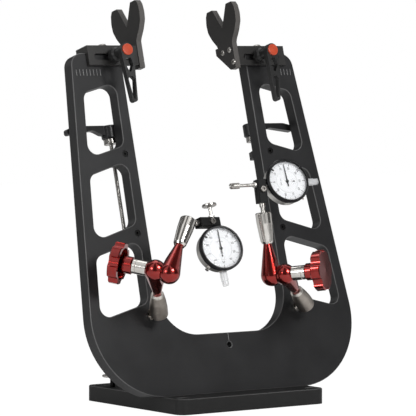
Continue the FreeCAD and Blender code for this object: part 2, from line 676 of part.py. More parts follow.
def blade_plate(name, side):
    """The five-sided foot that holds the blade's tongue against the bracket's end."""
    root = above_top(size.blade_root)
    rear, front = size.plate_rear, size.plate_front
    foot = root - size.plate_tall
    outline = rounded([(front, root, 0), (rear, root, 0), (rear, root - size.plate_heel, 1.5),
                       (front - size.plate_toe, foot, 2.5), (front, foot, 2.0)])
    plate = padded(name + "_plate_blank", [outline], "sizes.blade_thick")
    recess = padded(name + "_recess", [tongue_outline(size.tongue_play)], "sizes.blade_tongue",
                    lift=tongue_lift(side))
    sinks = [drill("%s_head_sink_%d" % (name, index), size.low_head + 0.6, size.head_sink,
                   blade_frame(side).inverse() * place * at(0, 0, size.head_sink))
             for index, place in enumerate(blade_screw_places(side))]
    holes = blade_drills(name + "_plate_hole", side)
    finish(cut(name + "_plate_cut", plate, [recess] + holes + sinks), name + "_blade_plate",
           stand * blade_frame(side))


def domed_screw(name, head, tall, thread, long, place):
    """A screw with a low domed head and a small socket."""
    rim, shank, socket = head / 2, thread / 2, thread / 2 * 0.6
    profile = [(0, -long), (shank, -long), (shank, 0), (rim, 0), (rim, tall * 0.35),
               (rim * 0.87, tall * 0.78, rim * 0.6, tall), (socket, tall), (socket, tall * 0.4),
               (0, tall * 0.4)]
    screw = turned(name, profile)
    screw.Placement = place
    return screw


def bracket_screws(name, side):
    """The blade's three screws, and the one in the saddle's lid."""
    screws = [domed_screw("%s_blade_screw_%d" % (name, index), size.low_head, size.low_head_tall,
                          size.low_shank, size.low_long, place)
              for index, place in enumerate(blade_screw_places(side))]
    screws.append(domed_screw(name + "_lid_screw", size.lid_head, size.lid_head_tall,
                              size.screw_shank, size.bracket_lid, lid_screw_place(side)))
    finish(group(name + "_bracket_screw_set", screws), name + "_bracket_screws", stand)


# ---- clamp levers -----------------------------------------------------------------------------

def clamp(name, side):
    """A clamp screw with its hub, skeleton lever and domed cap, turning about the frame's normal."""
    turn = size.left_lever_turn if side < 0 else size.right_lever_turn
    place = stand * at(side * size.clamp_across, size.frame_top - size.clamp_drop, 0,
                       Rotation(Vector(0, 0, 1), turn))
    seat = 2 * size.slide_play + size.bracket_leg
    stud, washer, barrel = size.clamp_stud / 2, size.clamp_washer / 2, size.clamp_barrel / 2
    neck, out = size.clamp_neck / 2, size.clamp_out
    profile = [(0, 1.5 - size.frame_thick), (stud - 0.8, 1.5 - size.frame_thick),
               (stud, 2.3 - size.frame_thick), (stud, seat), (washer, seat), (washer, seat + 3.0),
               (barrel - 2.5, seat + 3.0), (barrel, seat + 5.5), (barrel, seat + 12.5),
               (barrel - 2.5, seat + 15.0), (neck, seat + 15.0), (neck, out), (stud, out),
               (stud, out + size.lever_thick - 2.0), (0, out + size.lever_thick - 2.0)]
    finish(turned(name + "_clamp_turned", profile), name + "_clamp_hub", place)
    head, tip, long = size.lever_head / 2, size.lever_tip / 2, size.lever_long
    rim = size.lever_rim
    shoulder, waist = -size.lever_shoulder, -size.lever_waist
    bar_top = -size.lever_bar + size.lever_bar_thick / 2
    bar_foot = bar_top - size.lever_bar_thick
    outline = rounded([(-head, head, head - 0.05), (-head, shoulder, 30),
                       (-tip, -long - tip, tip - 0.05), (tip, -long - tip, tip - 0.05),
                       (head, shoulder, 30), (head, head, head - 0.05)])
    upper = rounded([(rim + 3.2 - head, shoulder - 1.0, 2.0), (rim + 1.0 - head, waist, 4.0),
                     (0, bar_top, 2.0), (head - rim - 1.0, waist, 4.0),
                     (head - rim - 3.2, shoulder - 1.0, 2.0)])
    lower = rounded([(0, bar_foot, 3.0), (rim + 1.6 - head, bar_foot - 5.0, 3.0),
                     (rim - tip, -long, 1.3), (tip - rim, -long, 1.3),
                     (head - rim - 1.6, bar_foot - 5.0, 3.0)])
    lever = padded(name + "_lever_plate", [outline, upper, lower], "sizes.lever_thick")
    lever_bore = bound("Cylinder", name + "_lever_eye", Radius="sizes.clamp_stud / 2",
                       Height="sizes.lever_thick - 2")
    finish(cut(name + "_clamp_lever_cut", lever, [lever_bore]), name + "_clamp_lever",
           place * at(0, 0, out))
    cap = size.cap_across / 2
    dome = [(0, 0), (cap, 0), (cap, size.cap_tall - 1.2), (cap - 0.5, size.cap_tall - 0.35, cap - 1.2,
            size.cap_tall - 0.2), (0, size.cap_tall)]
    finish(turned(name + "_cap_turned", dome), name + "_lever_cap",
           place * at(0, 0, out + size.lever_thick))


# ---- jointed arms -----------------------------------------------------------------------------

def pose(name):
    """Works out an arm's joints and axes, in the frame's axes."""
    given = POSES[name]
    lower = Vector(*given["lower"]).normalize()
    elbow = Vector(*given["elbow"])
    elbow = (elbow - lower * elbow.dot(lower)).normalize()
    upper = Vector(*given["upper"])
    upper = (upper - elbow * upper.dot(elbow)).normalize()
    stem = Vector(*given["stem"]).normalize()
    block = Vector(*given["block"])
    block = (block - stem * block.dot(stem)).normalize()
    face = Vector(*given["face"])
    face = (face - stem * face.dot(stem)).normalize()
    foot = Vector(given["side"] * size.hole_column, size.stud_hole, size.ball_out)
    first = foot + lower * size.arm_long
    second = first + elbow * size.eye_gap
    top = second + upper * size.arm_long
    grip = top + block * size.holder_reach
    dial = grip - stem * size.stem_grip
    return {"lower": lower, "elbow": elbow, "upper": upper, "stem": stem, "block": block,
            "face": face, "foot": foot, "first": first, "second": second, "top": top,
            "grip": grip, "dial": dial}


def ball_outline():
    """Half the outline of a ball, from its far pole round to where its neck leaves it."""
    ball, neck = size.ball / 2, size.stud_neck / 2
    bend = math.radians(-10)
    return [(0, -ball), (ball * math.cos(bend), ball * math.sin(bend), neck,
                         math.sqrt(ball ** 2 - neck ** 2))]


def base_ball_studs():
    """The two ball studs that screw into the frame and carry the arms."""
    studs = []
    for name in POSES:
        neck, barrel = size.stud_neck / 2, size.stud_barrel / 2
        foot, hex_top = size.ball_out, size.ball_out - size.stud_hex_tall
        thread = size.stud_thread / 2
        shank = turned(name + "_stud_shank", ball_outline() + [
            (neck, hex_top - 1.5), (barrel, hex_top - 0.5), (barrel, foot), (thread, foot),
            (thread, foot + size.stud_thread_long), (0, foot + size.stud_thread_long)])
        collar = bound("Prism", name + "_stud_hex", at(0, 0, hex_top),
                       Circumradius="sizes.stud_hex / 2 / cos(30)", Height="sizes.stud_hex_tall")
        collar.Polygon = 6
        stud = fuse(name + "_stud", [shank, collar])
        stud.Placement = aimed(pose(name)["foot"], (0, 0, -1), (1, 0, 0))
        studs.append(stud)
    finish(group("studs", studs), "base_ball_studs")


def cone_lean():
    """How far the stalk's side, which leaves the eye smoothly, leans in towards its thin end."""
    end, long = size.cone_end / 2, size.cone_long
    return math.atan2(long, end) - math.acos(size.eye / 2 / math.hypot(end, long))


def arm_cone(name, label, place, seats):
    """A red arm: a ball-shaped eye, a tapered stalk and a spigot. seats are the flat faces across
    the elbow bolt, each a signed distance from the eye's middle."""
    eye, end, long = size.eye / 2, size.cone_end / 2, size.cone_long
    touch = (eye * math.cos(cone_lean()), eye * math.sin(cone_lean()))
    peak = math.radians(-45)
    profile = [(0, -eye), (eye * math.cos(peak), eye * math.sin(peak)) + touch, (end, long),
               (size.spigot / 2, long), (size.spigot / 2, long + size.spigot_long),
               (0, long + size.spigot_long)]
    stalk = turned(name, profile)
    tools = [bound("Cylinder", name + "_bolt_hole",
                   Placement(Vector(min(seats) - 2, 0, 0), SPIN_FORWARD),
                   Radius="sizes.elbow_bore / 2", Height="sizes.eye_gap + 4")]
    for index, seat in enumerate(seats):
        slab = doc.addObject("Part::Box", "%s_seat_%d" % (name, index))
        slab.Length, slab.Width, slab.Height = eye, 2 * eye + 2, 2 * eye + long
        slab.Placement = at(seat if seat > 0 else seat - eye, -eye - 1, -eye - 1)
        tools.append(slab)
    finish(cut(name + "_cut", stalk, tools), label, place)


def arm_sleeve(name, label, place, mouth, notch):
    """The turned sleeve on an arm's end that traps the ball. Its notch, towards the direction
    given in its own axes, lets the stud swing right over."""
    start, ball_at = size.cone_long - 1.0, size.arm_long
    ball = size.ball / 2 + size.ball_play
    foot, rim, end = size.sleeve_foot / 2, mouth / 2, size.arm_long + size.sleeve_lip
    bore, spigot_end = size.spigot / 2, size.cone_long + size.spigot_long
    seat = size.cone_end / 2
    seat_depth = size.cone_long - start
    lip = ball * 0.78
    lip_height = ball_at + math.sqrt(ball ** 2 - lip ** 2)
    bend = math.radians(18)
    profile = [(bore, size.cone_long), (bore, spigot_end), (ball, spigot_end + 1.5), (ball, ball_at),
               (ball * math.cos(bend), ball_at + ball * math.sin(bend), lip, lip_height),
               (lip + 0.7, end), (rim - 1.2, end), (rim, end - 1.2), (rim * 0.985, end - 14.0),
               (rim * 0.9, start + 16.0), (foot + 0.4, start + 3.0), (foot - 1.2, start),
               (seat + seat_depth * math.tan(cone_lean()), start), (seat, size.cone_long)]
    body = turned(name, profile)
    width = size.stud_neck + size.notch_play
    slot = doc.addObject("Part::Box", name + "_notch")
    slot.Length, slot.Width, slot.Height = rim + 2, width, 2 * size.sleeve_lip + width / 2
    turn = Rotation(Vector(0, 0, 1), math.degrees(math.atan2(notch.y, notch.x)))
    slot.Placement = Placement(Vector(0, 0, ball_at - width / 2 + 0.2), turn) * at(0, -width / 2)
    finish(cut(name + "_cut", body, [slot]), label, place)


def arm(name):
    """One jointed arm: lower and upper stalks with their sleeves, the elbow knob and collar."""
    joint = pose(name)
    lower_place = aimed(joint["first"], -joint["lower"], joint["elbow"])
    upper_place = aimed(joint["second"], joint["upper"], joint["elbow"])
    middle = (size.eye_gap - size.eye_play) / 2
    arm_cone(name + "_lower_stalk", name + "_lower_arm", lower_place, [middle, -size.collar_seat])
    arm_cone(name + "_upper_stalk", name + "_upper_arm", upper_place, [-middle])
    stud_dir = lower_place.Rotation.inverted() * (stand.Rotation * Vector(0, 0, -1))
    block_dir = upper_place.Rotation.inverted() * (stand.Rotation * joint["block"])
    arm_sleeve(name + "_lower_socket", name + "_lower_sleeve", lower_place, size.lower_mouth,
               stud_dir)
    arm_sleeve(name + "_upper_socket", name + "_upper_sleeve", upper_place, size.upper_mouth,
               block_dir)
    knob_place = aimed(joint["first"], -joint["elbow"], joint["upper"])
    elbow_knob(name, knob_place)
    ring, bore = size.collar / 2, size.elbow_bore / 2
    low, high = size.collar_seat, size.hub_start - size.eye_play
    collar = turned(name + "_collar_turned",
                    [(bore, low), (ring - 0.6, low), (ring, low + 0.6), (ring, high - 5.6),
                     (ring - 0.5, high - 5.2), (ring - 0.5, high - 4.6), (ring, high - 4.2),
                     (ring, high - 0.6), (ring - 0.6, high), (bore, high)])
    finish(collar, name + "_elbow_collar", knob_place)


def elbow_knob(name, place):
    """The lobed clamp knob with its hub and the bolt that draws the two eyes together."""
    rim, start, thick = size.knob / 2, size.knob_start, size.knob_thick
    bolt, hub = size.elbow_bolt / 2, size.knob_hub / 2
    hollow, floor = size.knob_hollow / 2, start + size.knob_hollow_deep
    hub_piece = turned(name + "_knob_hub",
                       [(0, -size.eye_gap - 2), (bolt, -size.eye_gap - 2), (bolt, size.hub_start),
                        (hub - 1, size.hub_start), (hub, size.hub_start + 1),
                        (hub, floor + 0.5), (0, floor + 0.5)])
    disc = turned(name + "_knob_disc",
                  [(0, floor), (hollow - 1.0, floor), (hollow, floor - 1.0), (hollow, start),
                   (rim - 1.0, start), (rim, start + 1.0), (rim, start + thick - 1.5),
                   (rim - 1.5, start + thick - 0.6), (0, start + thick)])
    lobes = int(size.knob_lobes)
    scallops = []
    for index in range(lobes):
        angle = 2 * math.pi * index / lobes
        reach = rim + size.knob_scallop * 0.42
        tool = doc.addObject("Part::Cylinder", "%s_scallop_%d" % (name, index))
        tool.Radius, tool.Height = size.knob_scallop, thick + 2
        tool.Placement = at(reach * math.cos(angle), reach * math.sin(angle), start - 1)
        scallops.append(tool)
    lobed = cut(name + "_knob_lobed", disc, scallops)
    finish(fuse(name + "_knob_fused", [hub_piece, lobed]), name + "_elbow_knob", place)


# ---- gauge holders ----------------------------------------------------------------------------

def holder(name):
    """The ball stud, the block that pinches the gauge's stem, and its pinch screw."""
    joint = pose(name)
    place = aimed(joint["top"], joint["block"], joint["stem"])
    neck, barrel = size.stud_neck / 2, size.stud_barrel / 2
    start, thread = size.holder_start, size.holder_stud / 2
    finish(turned(name + "_ball_stud_turned", ball_outline() + [
        (neck, start - 6), (barrel, start - 5), (barrel, start), (thread, start),
        (thread, start + size.holder_stud_deep), (0, start + size.holder_stud_deep)]),
           name + "_gauge_ball_stud", place)
    wide, deep, long = size.holder_wide / 2, size.holder_deep / 2, size.holder_long
    outline = rounded([(wide, deep, 1.5), (-wide, deep, 1.5), (-wide, -deep, 1.5),
                       (wide, -deep, 1.5)])
    block = padded(name + "_block", [outline], "sizes.holder_long", lift=start)
    stud_hole = bound("Cylinder", name + "_stud_hole", at(0, 0, start),
                      Radius="sizes.holder_stud / 2", Height="sizes.holder_stud_deep")
    grip = size.holder_reach
    stem_hole = bound("Cylinder", name + "_stem_hole", Placement(Vector(-wide - 1, 0, grip), SPIN_FORWARD),
                      Radius="sizes.stem_bore / 2", Height="sizes.holder_wide + 2")
    slit = doc.addObject("Part::Box", name + "_slit")
    slit.Length, slit.Width, slit.Height = 2 * wide + 2, size.holder_slit, grip - start - 10
    slit.Placement = at(-wide - 1, -size.holder_slit / 2, start + 9)
    pinch = grip - size.pinch_back
    across = Rotation(Vector(1, 0, 0), -90)
    screw_hole = drill(name + "_pinch_hole", size.pinch_screw, 2 * deep + 2,
                       at(0, deep + 1, pinch, Rotation(Vector(1, 0, 0), -90)))
    finish(cut(name + "_holder_cut", block, [stud_hole, stem_hole, slit, screw_hole]),
           name + "_gauge_holder", place)
    shank, head = size.pinch_screw / 2, size.pinch_head / 2
    screw = turned(name + "_pinch_turned",
                   [(0, 1 - 2 * deep), (shank, 1 - 2 * deep), (shank, 0), (head, 0),
                    (head, size.pinch_head_tall - 0.5), (head - 0.5, size.pinch_head_tall),
                    (1.8, size.pinch_head_tall), (1.8, 1.0), (0, 1.0)])
    finish(screw, name + "_pinch_screw", place * at(0, deep, pinch, across))


# ---- dial gauges ------------------------------------------------------------------------------

def gauge_place(name):
    """The dial's frame: Z out of its face, Y along the stem, origin on the spindle's axis."""
    joint = pose(name)
    side = joint["stem"].cross(joint["face"])
    return aimed(joint["dial"], joint["face"], side)


ALONG_STEM = Rotation(Vector(1, 0, 0), -90)


def gauge_case(name, place):
    """The cup-shaped case with its stem, spindle bores and the bezel's lock screw."""
    rim, wall = size.case / 2, size.case_wall
    back, front = -size.case_back, size.case_front
    cup = turned(name + "_case_cup",
                 [(0, back - 1.2), (rim - 7.0, back - 1.2), (rim - 6.0, back), (rim - 2.0, back),
                  (rim, back + 2.0), (rim, front), (rim - wall, front), (rim - wall, back + wall),
                  (0, back + wall)])
    stem = bound("Cylinder", name + "_stem", at(0, rim - wall / 2, 0, ALONG_STEM),
                 Radius="sizes.stem / 2",
                 Height="sizes.stem_long - sizes.case / 2 + sizes.case_wall / 2")
    neck = bound("Cylinder", name + "_case_neck", at(0, -rim - 1.5, 0, ALONG_STEM),
                 Radius="sizes.dust_cap / 2", Height="sizes.case_wall")
    bore = bound("Cylinder", name + "_spindle_bore", at(0, -rim - 3, 0, ALONG_STEM),
                 Radius="sizes.spindle / 2 + sizes.spindle_play",
                 Height="sizes.stem_long + sizes.case / 2 + 6")
    turn = math.radians(90 + size.lock_screw_turn)
    lock = bound("Cylinder", name + "_lock_screw",
                 Placement(Vector((rim - 1) * math.cos(turn), (rim - 1) * math.sin(turn), -1.5),
                           Rotation(Vector(0, 0, 1), Vector(math.cos(turn), math.sin(turn), 0))),
                 Radius="sizes.lock_screw / 2", Height="sizes.lock_screw_out + 1")
    finish(cut(name + "_case_cut", fuse(name + "_case_blank", [cup, stem, neck, lock]), [bore]),
           name + "_gauge_case", place)


def gauge_face(name, place):
    """The fixed middle of the face, set in the case's mouth, with holes for both pivots."""
    rim, boss = size.case / 2 - size.case_wall, size.centre_face / 2
    low, ledge = size.case_front - 1.0, size.case_front - 0.2
    top = size.dial_floor + size.dial_thick
    plate = turned(name + "_face_turned", [(0, low), (rim, low), (rim, ledge), (boss, ledge),
                                           (boss, top), (0, top)])
    holes = [drill(name + "_pivot_hole", size.pivot + 0.3, 6, at(0, 0, top + 1)),
             drill(name + "_counter_hole", size.pivot + 0.3, 6, at(0, -size.counter_drop, top + 1))]
    finish(cut(name + "_face_cut", plate, holes), name + "_gauge_face", place)


def gauge_bezel(name, place):
    """The turning bezel with its two limit tabs, and the dial ring that turns with it."""
    rim, inner, window_r = size.bezel / 2, size.case / 2 + size.bezel_play, size.dial_window / 2
    top, lip = size.bezel_top, size.bezel_lip
    ring = turned(name + "_bezel_turned",
                  [(inner, size.bezel_foot), (rim - 1.0, size.bezel_foot),
                   (rim, size.bezel_foot + 1.0), (rim, top - 2.2), (rim - 1.8, top),
                   (window_r + 0.6, top), (window_r, top - lip), (inner, top - lip)])
    tabs = []
    for index, angle in enumerate(POSES[name]["tabs"]):
        half = size.tab_width / 2
        outline = rounded([(half, size.bezel / 2 - 1.6, 0), (-half, size.bezel / 2 - 1.6, 0),
                           (-half * 0.5, size.tab_inner, 0.4), (half * 0.5, size.tab_inner, 0.4)])
        tab = padded("%s_tab_%d" % (name, index), [outline], "sizes.tab_thick", lift=top)
        tab.Placement = Placement(Vector(), Rotation(Vector(0, 0, 1), angle))
        tabs.append(tab)
    finish(group(name + "_bezel_set", [ring] + tabs), name + "_gauge_bezel", place)
    low, high = size.dial_floor, size.dial_floor + size.dial_thick
    centre = size.centre_face / 2 + size.bezel_play
    finish(turned(name + "_dial_turned", [(centre, low), (inner, low), (inner, high), (centre, high)]),
           name + "_gauge_dial", place)


def pointer(name, label, place, long, tail, height, thick, hub):
    """A thin pointer on its own pivot, with thick the formula of its thickness."""
    half = hub * 0.16
    outline = rounded([(half, -tail, 0), (half * 1.2, 0, 0), (half * 0.4, long, 0),
                       (-half * 0.4, long, 0), (-half * 1.2, 0, 0), (-half, -tail, 0)])
    blade = padded(name + "_blade", [outline], "1 mm * %s" % thick, lift=height)
    boss = turned(name + "_boss", [(0, size.pivot_foot), (size.pivot / 2, size.pivot_foot),
                                   (size.pivot / 2, height),
                                   (hub / 2, height), (hub / 2, height + getattr(size, thick[6:])),
                                   (0, height + getattr(size, thick[6:]))])
    finish(fuse(name, [blade, boss]), label, place)


def gauge_spindle(name, place):
    """The spring-loaded spindle with its contact: a flat disc on the left, a rod on the right."""
    rod, tail = size.spindle / 2, -size.spindle_tail
    if name == "left":
        reach, tip, thick = size.left_tip_reach, size.disc_tip / 2, size.disc_tip_thick
        profile = [(0, tail), (rod, tail), (rod, reach - thick - 1.8), (rod + 0.6, reach - thick - 1.2),
                   (rod + 0.6, reach - thick), (tip - 0.4, reach - thick), (tip, reach - thick + 0.4),
                   (tip, reach - 0.6), (tip - 0.6, reach), (0, reach)]
        body = turned(name + "_spindle_turned", profile)
    else:
        reach, tip, long = size.right_tip_reach, size.rod_tip / 2, size.rod_tip_long
        profile = [(0, tail), (rod, tail), (rod, reach - long), (tip - 0.8, reach - long),
                   (tip, reach - long + 0.8), (tip, reach - 2.4),
                   (tip - 1.0, reach - 0.8, tip - 2.6, reach), (0, reach)]
        body = turned(name + "_spindle_turned", profile)
        slot = doc.addObject("Part::Box", name + "_tip_slot")
        slot.Length, slot.Width, slot.Height = size.rod_tip_slot, 2 * tip + 2, 5.0
        slot.Placement = at(-size.rod_tip_slot / 2, -tip - 1, reach - 5.0)
        body = cut(name + "_spindle_cut", body, [slot])
    finish(body, name + "_gauge_spindle", place * at(0, 0, 0, ALONG_STEM))


def gauge_cap(name, place):
    """The clear cap that covers the spindle's tail."""
    start = size.case / 2 + 1.5
    outer, end = size.dust_cap / 2, size.dust_cap_end / 2
    wall, long = size.dust_cap_wall, size.dust_cap_long
    finish_at = start + long + size.dust_cap_end_long
    inner = outer - wall
    profile = [(inner, -start), (outer, -start), (outer, -start - long), (end, -start - long),
               (end, -finish_at + 1.0), (end - 1.0, -finish_at), (0, -finish_at),
               (0, -finish_at + 3.0), (inner, -finish_at + 3.0)]
    finish(turned(name + "_cap_body", profile), name + "_gauge_cap", place * at(0, 0, 0, ALONG_STEM))


def gauge(name):
    place = gauge_place(name)
    gauge_case(name, place)
    gauge_face(name, place)
    gauge_bezel(name, place)
    turn = Rotation(Vector(0, 0, 1), POSES[name]["needle_turn"])
    pointer(name + "_needle", name + "_gauge_needle", place * at(0, 0, 0, turn), size.needle_long,
            size.needle_tail, size.needle_height, "sizes.needle_thick", 4.4)
    pointer(name + "_counter", name + "_gauge_counter", place * at(0, -size.counter_drop, 0),
            size.counter_long, 1.0, size.counter_height, "sizes.counter_thick", 2.2)
    gauge_spindle(name, place)
    gauge_cap(name, place)


# ---- build, check and write -------------------------------------------------------------------

base_plate()
frame_plate()
foot_bracket()
socket_screws()
storage_posts()
skewer_clips()
base_ball_studs()
for hand, given in POSES.items():
    stored_axle(hand, given["side"])
    axle_bracket(hand, given["side"])
    v_blade(hand, given["side"])
    blade_plate(hand, given["side"])
    bracket_screws(hand, given["side"])
    clamp(hand, given["side"])
    arm(hand)
    holder(hand)
    gauge(hand)

doc.recompute()
for item in doc.Objects:
    if "Invalid" in item.State or "Error" in item.State:
        raise RuntimeError("%s failed: %s" % (item.Name, item.State))
for node in nodes:
    if node.Shape.isNull() or not node.Shape.isValid():
        raise RuntimeError("%s has no valid shape" % node.Label)

os.makedirs("parts", exist_ok=True)
for node in nodes:
    node.Shape.exportStep("parts/%s.step" % node.Label)
    print(node.Label, len(node.Shape.Solids), "solids", round(node.Shape.Volume, 1), "mm3")
print(len(nodes), "nodes")
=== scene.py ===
import bpy
import json
import math
from mathutils import Matrix, Vector


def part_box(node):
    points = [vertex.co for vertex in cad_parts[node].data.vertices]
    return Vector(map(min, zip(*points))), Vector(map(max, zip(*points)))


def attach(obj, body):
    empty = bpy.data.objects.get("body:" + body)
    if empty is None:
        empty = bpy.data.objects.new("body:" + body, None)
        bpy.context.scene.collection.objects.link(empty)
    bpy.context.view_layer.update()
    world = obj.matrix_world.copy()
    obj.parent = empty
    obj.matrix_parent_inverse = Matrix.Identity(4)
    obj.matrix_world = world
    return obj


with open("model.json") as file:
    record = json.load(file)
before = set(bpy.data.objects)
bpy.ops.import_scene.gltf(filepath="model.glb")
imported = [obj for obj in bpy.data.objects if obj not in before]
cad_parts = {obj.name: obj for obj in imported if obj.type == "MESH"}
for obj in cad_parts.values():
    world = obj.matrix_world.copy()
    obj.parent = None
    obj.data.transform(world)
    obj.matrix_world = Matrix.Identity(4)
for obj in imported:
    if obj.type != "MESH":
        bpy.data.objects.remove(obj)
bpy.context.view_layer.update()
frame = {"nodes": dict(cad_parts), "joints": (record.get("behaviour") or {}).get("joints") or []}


# ---- base plate -------------------------------------------------------------------------------
# A thick steel plate, blasted and blackened, that is bolted to the bench at its four corners. All
# the machined plates share its plain satin black, and their broken edges get a painted highlight.

class Wire:
    """The output of a node in a paint. Arithmetic on it adds Math nodes."""

    def __init__(self, paint, socket):
        self.paint, self.socket = paint, socket

    def __add__(self, other):
        return self.paint.maths("ADD", self, other)

    def __sub__(self, other):
        return self.paint.maths("SUBTRACT", self, other)

    def __rsub__(self, other):
        return self.paint.maths("SUBTRACT", other, self)

    def __mul__(self, other):
        return self.paint.maths("MULTIPLY", self, other)

    def __gt__(self, other):
        return self.paint.maths("GREATER_THAN", self, other)

    def __lt__(self, other):
        return self.paint.maths("LESS_THAN", self, other)

    __radd__, __rmul__ = __add__, __mul__


class Paint:
    """A material. add() puts in any node, and set() fills or wires the surface's own sockets.
    A finish keeps its plain colour as shade, so that marks and painted highlights go over it."""

    def __init__(self, name, **surface):
        self.material = bpy.data.materials.new(name)
        self.begin("Principled BSDF", "Object")
        self.set(**surface)

    def begin(self, surface, space):
        """Takes up the new material's own surface node, and the space that its nodes read."""
        self.material.use_nodes = True
        self.tree = self.material.node_tree
        self.surface = self.tree.nodes[surface]
        self.where = self.add("ShaderNodeTexCoord", out=space)

    def fill(self, node, socket, value):
        """Wires a socket, or sets it. A colour is written without its alpha."""
        if isinstance(value, Wire):
            self.tree.links.new(value.socket, node.inputs[socket])
        elif node.inputs[socket].type == "RGBA":
            node.inputs[socket].default_value = (*value, 1)
        else:
            node.inputs[socket].default_value = value

    def add(self, kind, settings=None, sockets=None, out=0):
        node = self.tree.nodes.new(kind)
        for key, value in (settings or {}).items():
            if key == "stops":
                for spare in range(len(value) - 2):
                    node.color_ramp.elements.new(0.5)
                for element, (at, shade) in zip(node.color_ramp.elements, value):
                    element.position, element.color = at, (*shade, 1)
            else:
                setattr(node, key, value)
        for socket, value in (sockets or {}).items():
            self.fill(node, socket, value)
        return Wire(self, node.outputs[out])

    def set(self, **surface):
        for socket, value in surface.items():
            self.fill(self.surface, socket.replace("_", " "), value)

    def maths(self, operation, first, second):
        return self.add("ShaderNodeMath", {"operation": operation}, {0: first, 1: second})

    def noise(self, scale, detail):
        """Noise with so many waves to the metre. Most of it lies from 0.3 to 0.7."""
        return self.add("ShaderNodeTexNoise", None,
                        {"Vector": self.where, "Scale": scale, "Detail": detail})

    def shades(self, factor, *stops):
        return self.add("ShaderNodeValToRGB", {"stops": stops}, {"Fac": factor})

    def between(self, noise, dark, light, low=0.3, high=0.7):
        """From dark to light as a noise goes from low to high."""
        return self.shades(noise, (low, dark), (high, light))

    def mixed(self, factor, first, second):
        return self.add("ShaderNodeMixRGB", None,
                        {"Fac": factor, "Color1": first, "Color2": second})

    def swing(self, mean, *noises):
        """A value that each (noise, reach) moves up and down about its mean."""
        for noise, reach in noises:
            mean = mean + reach * (noise - 0.5)
        return mean

    def bumped(self, height, depth, strength):
        return self.add("ShaderNodeBump", None,
                        {"Height": height, "Distance": depth, "Strength": strength})

    def along(self, vector, direction):
        return self.add("ShaderNodeVectorMath", {"operation": "DOT_PRODUCT"},
                        {0: vector, 1: direction}, "Value")

    def near(self, value, target, reach):
        """1 where a value is no further than reach from its target, and 0 elsewhere."""
        return self.add("ShaderNodeMath", {"operation": "COMPARE"},
                        {0: value, 1: target, 2: reach})

    def facing(self, direction):
        """How squarely the surface faces along a direction or against it, from 0 to 1."""
        normal = self.add("ShaderNodeTexCoord", out="Normal")
        return self.maths("ABSOLUTE", self.along(normal, direction), 0.0)


def grey(level):
    return (level, level, level)


def satin_black(name, dark, light, roughness, metallic=0.0, sheen=0.35, plate=None, chamfer_highlight=None):
    """Blasted black: a fine even grain, and broad faint clouds where oil and hands have been.
    On a flat plate, given by its normal, the 45 degree edges get a painted highlight, a paler
    shade."""
    paint = Paint(name, Metallic=metallic, Specular_IOR_Level=sheen)
    grain, clouds = paint.noise(2600.0, detail=3.0), paint.noise(22.0, detail=4.0)
    paint.shade = paint.between(0.7 * clouds + 0.3 * grain, dark, light)
    if plate:
        # Painted highlight: the 45 degree chamfers are coloured paler, where they would catch the
        # light.
        lit_chamfer = paint.near(paint.facing(plate), math.cos(math.radians(45)), reach=0.2)
        paint.shade = paint.mixed(lit_chamfer * (0.8 * clouds + 0.4), paint.shade, chamfer_highlight)
    paint.set(Base_Color=paint.shade,
              Roughness=paint.swing(roughness, (clouds, 0.12), (grain, 0.10)),
              Normal=paint.bumped(grain, depth=0.00004, strength=0.3))
    return paint


def coat(nodes, paint):
    """Gives a paint to whole nodes of the frame."""
    for name in nodes:
        mesh = frame["nodes"][name].data
        mesh.materials.clear()
        mesh.materials.append(paint.material)


# The base plate's chamfers get a painted highlight.
base_black = satin_black("base_black", grey(0.0045), grey(0.0085), roughness=0.5,
                         plate=(0, 0, 1), chamfer_highlight=grey(0.07))
coat(["base_plate"], base_black)


# ---- frame and foot bracket -------------------------------------------------------------------
# One thick aluminium plate cut to a U, machined all round and anodised satin black, leans back on
# a ribbed foot that is screwed to it and to the base. Its scale marks are engraved, and stay grey.

lean = math.radians(15.4)
setback, lift, mark_deep = 0.0385, 0.0016, 0.0004
base_low, base_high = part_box("base_plate")
out = (0, -math.cos(lean), math.sin(lean))
front = Vector((0, base_low[1] + setback, base_high[2] + lift)).dot(out)
# The frame's chamfers get a painted highlight.
frame_black = satin_black("frame_black", (0.010, 0.010, 0.0106), (0.017, 0.017, 0.018),
                          roughness=0.42, plate=out, chamfer_highlight=grey(0.12))
depth = frame_black.along(frame_black.where, out)
engraved = frame_black.near(depth, front - mark_deep, reach=0.00015)
flat = frame_black.facing(out) > 0.9
frame_black.set(Base_Color=frame_black.mixed(engraved * flat, frame_black.shade, grey(0.30)))
coat(["frame_plate", "foot_bracket"], frame_black)


# ---- screws, pegs and ball studs --------------------------------------------------------------
# Black socket screws join the frame, the foot and the base. Pegs with bright turned heads stand on
# the base, and two nickelled ball studs screw into the frame.

def turned_metal(name, dark, light, roughness):
    """Plated or bare turned steel with fine scratches and a faint bloom."""
    paint = Paint(name, Metallic=1.0)
    scratches, bloom = paint.noise(1400.0, detail=4.0), paint.noise(60.0, detail=3.0)
    paint.shade = paint.between(bloom, dark, light)
    paint.set(Base_Color=paint.shade,
              Roughness=paint.swing(roughness, (bloom, 0.10), (scratches, 0.08)),
              Normal=paint.bumped(scratches, depth=0.000002, strength=0.3))
    return paint


screw_black = satin_black("screw_black", grey(0.008), grey(0.018), roughness=0.38, metallic=0.6)
nickel = turned_metal("nickel", (0.62, 0.595, 0.56), (0.74, 0.72, 0.685), roughness=0.15)
steel = turned_metal("steel", (0.36, 0.345, 0.325), (0.50, 0.485, 0.46), roughness=0.28)
coat(["socket_screws"], screw_black)
coat(["base_ball_studs"], nickel)

